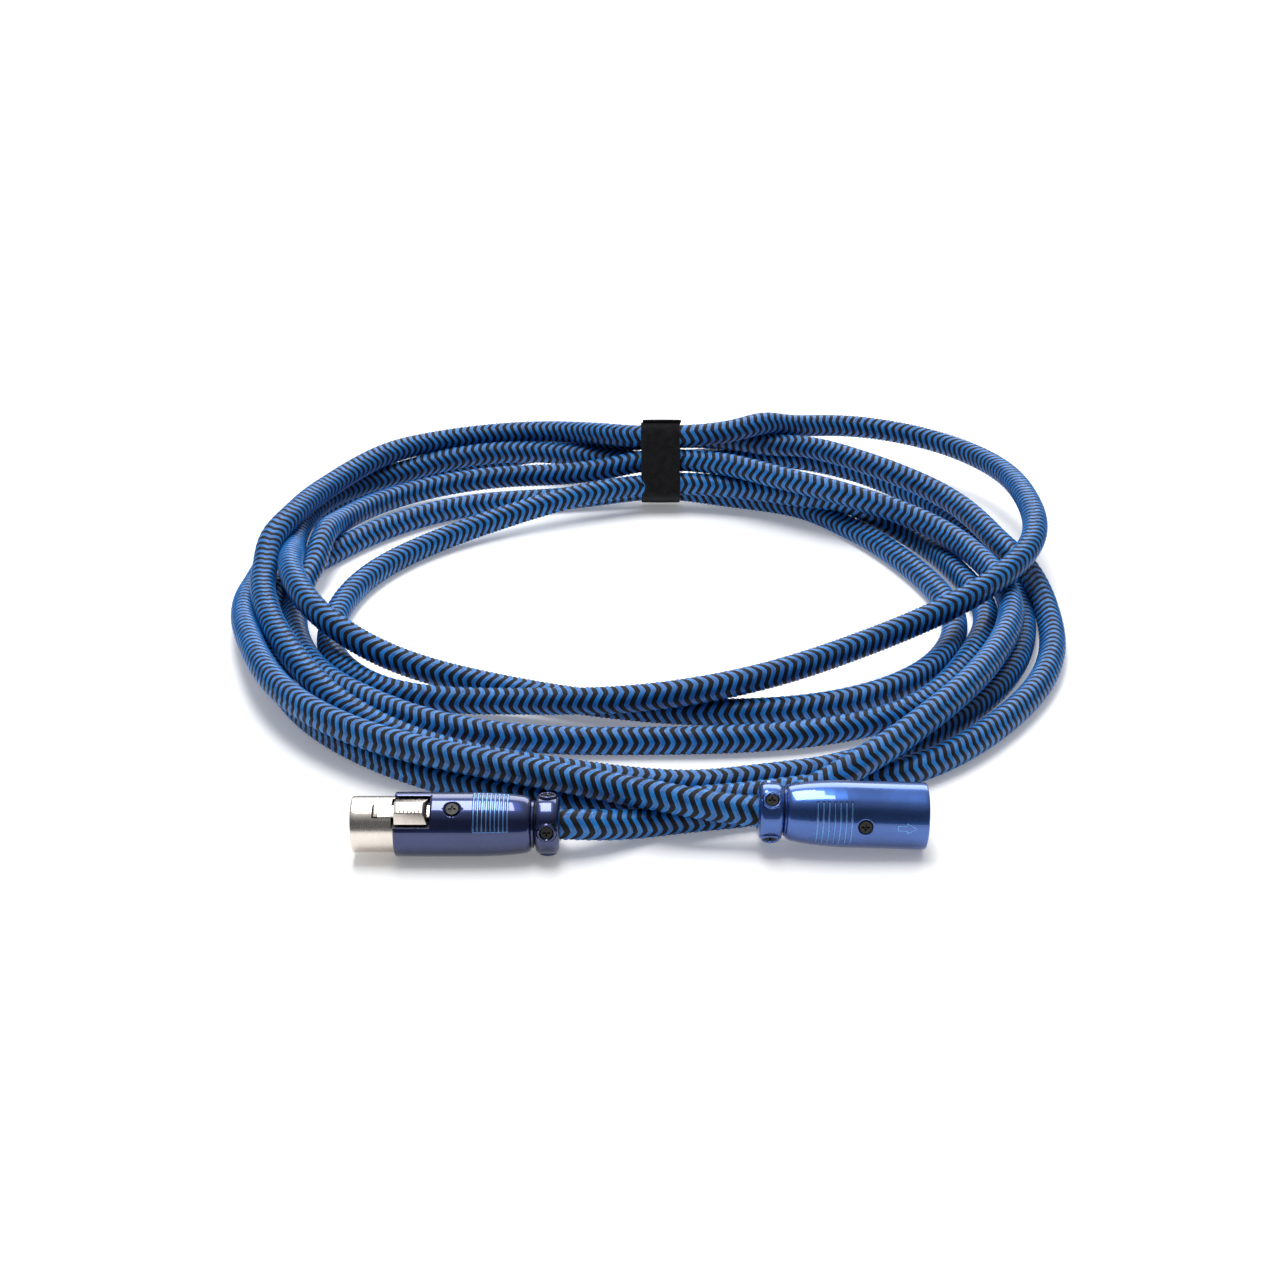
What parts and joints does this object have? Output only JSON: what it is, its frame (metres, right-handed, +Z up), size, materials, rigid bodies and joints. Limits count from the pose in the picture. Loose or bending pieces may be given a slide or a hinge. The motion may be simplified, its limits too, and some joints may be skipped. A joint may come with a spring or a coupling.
{
  "type": "xlr microphone cable coil",
  "caption": "Braided microphone cable coiled by hand and tied at the back, with a latching female connector on one end and a male connector on the other.",
  "frame": {"origin": "on the surface that the coil lies on, under the middle of the whole object's box", "axes": "+Z up, -Y towards the two connectors, +Y towards the tie, +X the way the male connector points"},
  "size_m": [0.3031, 0.3365, 0.0352],
  "materials": {
    "braid": "woven sleeve with a blue and black zigzag",
    "tie": "napped hook-and-loop tape",
    "blue_shell": "glossy metallic blue lacquer",
    "nickel": "satin nickel plate",
    "black_plastic": "moulded",
    "black_steel": "blackened screws",
    "contact_gold": "plated contacts",
    "spring_steel": "polished",
    "rubber": "soft",
    "wire_red": "insulation",
    "wire_blue": "insulation",
    "wire_bare": "bare copper"
  },
  "bodies": {
    "cable": {"cable_coil": "braid", "female_tail": "braid", "male_tail": "braid", "tie_strap": "tie", "female_shell": "blue_shell", "female_collar": "blue_shell", "female_nose": "nickel", "female_insert": "black_plastic", "female_contact_1": "contact_gold", "female_contact_2": "contact_gold", "female_contact_3": "contact_gold", "female_latch_pin": "spring_steel", "female_latch_spring": "spring_steel", "female_shell_screw": "black_steel", "female_clamp_screw_1": "black_steel", "female_clamp_screw_2": "black_steel", "female_clamp_screw_3": "black_steel", "female_clamp_screw_4": "black_steel", "female_bush": "rubber", "female_cable_end": "rubber", "female_wire_bare": "wire_bare", "female_wire_red": "wire_red", "female_wire_blue": "wire_blue", "male_shell": "blue_shell", "male_collar": "blue_shell", "male_insert": "black_plastic", "male_pin_1": "contact_gold", "male_pin_2": "contact_gold", "male_pin_3": "contact_gold", "male_shell_screw": "black_steel", "male_clamp_screw_1": "black_steel", "male_clamp_screw_2": "black_steel", "male_clamp_screw_3": "black_steel", "male_clamp_screw_4": "black_steel", "male_bush": "rubber", "male_cable_end": "rubber", "male_wire_bare": "wire_bare", "male_wire_red": "wire_red", "male_wire_blue": "wire_blue"},
    "latch": {"female_latch": "nickel"}
  },
  "joints": [
    {"name": "latch_press", "type": "hinge", "parent": "cable", "child": "latch", "pos_m": [-0.061, -0.16184, 0.01484], "axis": [0, -0.848, -0.5299], "range_deg": [0, 5], "stiffness_Nm_per_rad": 0.3, "springref_deg": -2.86}
  ]
}
